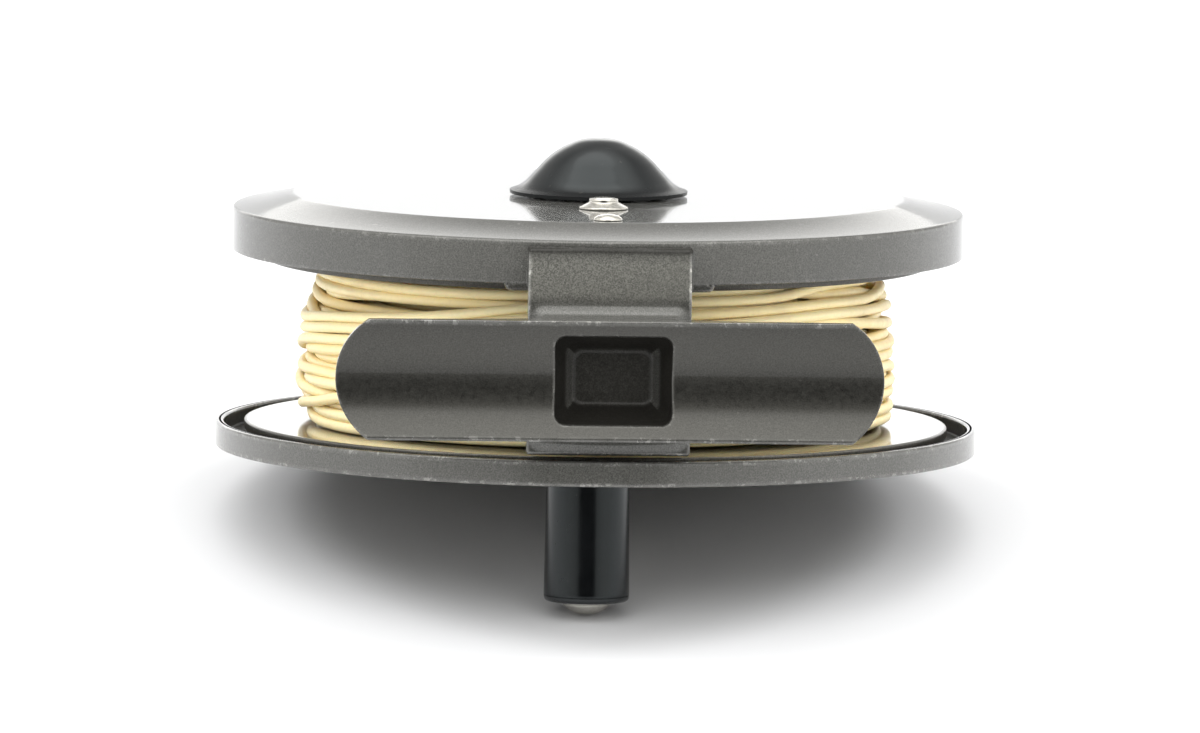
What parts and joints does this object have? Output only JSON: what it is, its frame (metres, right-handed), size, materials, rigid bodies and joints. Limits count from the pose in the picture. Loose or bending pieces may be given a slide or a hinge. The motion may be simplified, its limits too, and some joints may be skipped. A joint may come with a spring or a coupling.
{
  "type": "fly fishing reel",
  "caption": "Half-frame single-action fly reel with palming rim, drag knob on the back plate, black handle and a spool wound with cream fly line.",
  "frame": {"origin": "middle of the bottom of the bounding box, under the spool axis and level with the end of the winding handle", "axes": "+Z along the spool axis from the winding handle towards the drag knob on the back plate; the reel foot looks along -Y, and its length runs along X"},
  "size_m": [0.09, 0.0944, 0.0529],
  "materials": {
    "gunmetal": "semi-gloss",
    "black_plastic": "gloss",
    "nickel": "polished",
    "steel": "machined",
    "spring_steel": "satin",
    "brass": "machined",
    "silver_alloy": "semi-gloss",
    "fly_line": "satin",
    "backing": "braided"
  },
  "bodies": {
    "frame": {"frame_casting": "gunmetal", "spindle": "steel", "spindle_nut": "steel", "knob_wave_washer": "spring_steel", "click_pawl_post": "nickel", "spring_anchor_rivet": "nickel", "pawl_spring": "spring_steel"},
    "knob": {"drag_knob": "black_plastic", "drag_pin": "steel", "drag_cam": "steel"},
    "pawl": {"click_pawl": "steel"},
    "spool": {"spool_drum": "silver_alloy", "palming_rim": "gunmetal", "rim_rivet_1": "nickel", "rim_rivet_2": "nickel", "rim_rivet_3": "nickel", "rim_rivet_4": "nickel", "rim_rivet_5": "nickel", "rim_rivet_6": "nickel", "bushing_rear": "brass", "bushing_front": "brass", "ratchet_gear": "brass", "gear_rivet_1": "steel", "gear_rivet_2": "steel", "gear_rivet_3": "steel", "latch_cover": "gunmetal", "latch_spring": "spring_steel", "latch_screw_1": "nickel", "latch_screw_2": "nickel", "handle_base_washer": "nickel", "handle_spindle": "nickel", "counterweight": "nickel", "counterweight_rivet": "nickel", "backing_winding": "backing", "fly_line_winding": "fly_line"},
    "handle": {"handle_knob": "black_plastic"},
    "latch": {"latch_slide": "steel"}
  },
  "joints": [
    {"name": "spool_spin", "type": "hinge", "parent": "frame", "child": "spool", "pos_m": [0, 0.00215, 0.03], "axis": [0, 0, 1], "continuous": true},
    {"name": "handle_spin", "type": "hinge", "parent": "spool", "child": "handle", "pos_m": [-0.00196, -0.03179, 0.01], "axis": [0, 0, 1], "continuous": true},
    {"name": "drag_knob_turn", "type": "hinge", "parent": "frame", "child": "knob", "pos_m": [0, 0.00215, 0.048], "axis": [0, 0, 1], "range_deg": [0, 150]},
    {"name": "click_pawl_rock", "type": "hinge", "parent": "frame", "child": "pawl", "pos_m": [0, -0.01585, 0.0405], "axis": [0, 0, 1], "range_deg": [-4, 4], "stiffness_Nm_per_rad": 0.02, "deforming": ["pawl_spring"]},
    {"name": "latch_press", "type": "slide", "parent": "spool", "child": "latch", "axis": [-1, 0, 0], "range_m": [0, 0.0012], "stiffness_N_per_m": 300, "springref_m": -0.003, "deforming": ["latch_spring"]}
  ]
}
